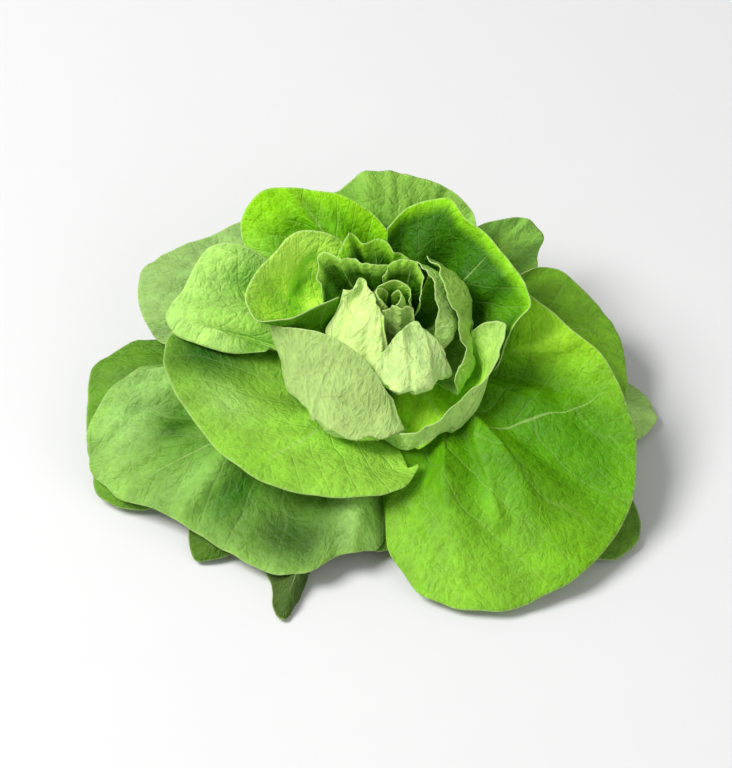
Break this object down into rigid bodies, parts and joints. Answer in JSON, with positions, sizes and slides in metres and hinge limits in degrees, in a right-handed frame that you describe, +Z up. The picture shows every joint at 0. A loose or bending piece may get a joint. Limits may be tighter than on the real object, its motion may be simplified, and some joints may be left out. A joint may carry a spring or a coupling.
{
  "type": "butterhead lettuce",
  "caption": "Open head of butterhead lettuce: soft rounded wrapper leaves spread round a loose cupped head and a pale folded heart, on a short cut stem.",
  "frame": {"origin": "middle of the stem's flat cut face, which stands on the surface", "axes": "+Z up along the stem, +Y towards the back of the head as pictured, +X to its right"},
  "size_m": [0.2844, 0.2436, 0.1037],
  "materials": {
    "stem": "moist pale stem flesh",
    "leaf_low": "soft satin leaf, darkest green",
    "leaf_wrapper": "soft satin leaf, fresh green",
    "leaf_head": "soft satin leaf, yellow green",
    "leaf_heart": "soft satin leaf, pale green"
  },
  "bodies": {
    "root": {"stem": "stem", "leaf_low_back": "leaf_low", "leaf_low_back_left": "leaf_low", "leaf_low_back_right": "leaf_low", "leaf_low_front": "leaf_low", "leaf_low_front_left": "leaf_low", "leaf_low_front_middle": "leaf_low", "leaf_low_front_right": "leaf_low", "leaf_low_right": "leaf_low", "leaf_low_left": "leaf_wrapper", "leaf_front_left_wide": "leaf_wrapper", "leaf_back_middle": "leaf_wrapper", "leaf_back_right_wavy": "leaf_wrapper", "leaf_left_back": "leaf_wrapper", "leaf_right_back": "leaf_wrapper", "leaf_back": "leaf_wrapper", "leaf_front_right_fan": "leaf_wrapper", "leaf_front_left_cup": "leaf_wrapper", "leaf_left_folded": "leaf_wrapper", "leaf_back_left_tall": "leaf_wrapper", "head_right_back": "leaf_head", "head_front_right": "leaf_head", "head_front_left": "leaf_head", "head_left_spoon": "leaf_head", "heart_back": "leaf_heart", "heart_right": "leaf_heart", "heart_front_right": "leaf_heart", "heart_back_left": "leaf_heart", "heart_right_inner": "leaf_heart", "heart_left_pale": "leaf_heart", "heart_back_curl": "leaf_heart", "heart_middle_front": "leaf_heart", "heart_middle_back": "leaf_heart", "heart_bud_left": "leaf_heart", "heart_bud_right": "leaf_heart"}
  },
  "joints": []
}
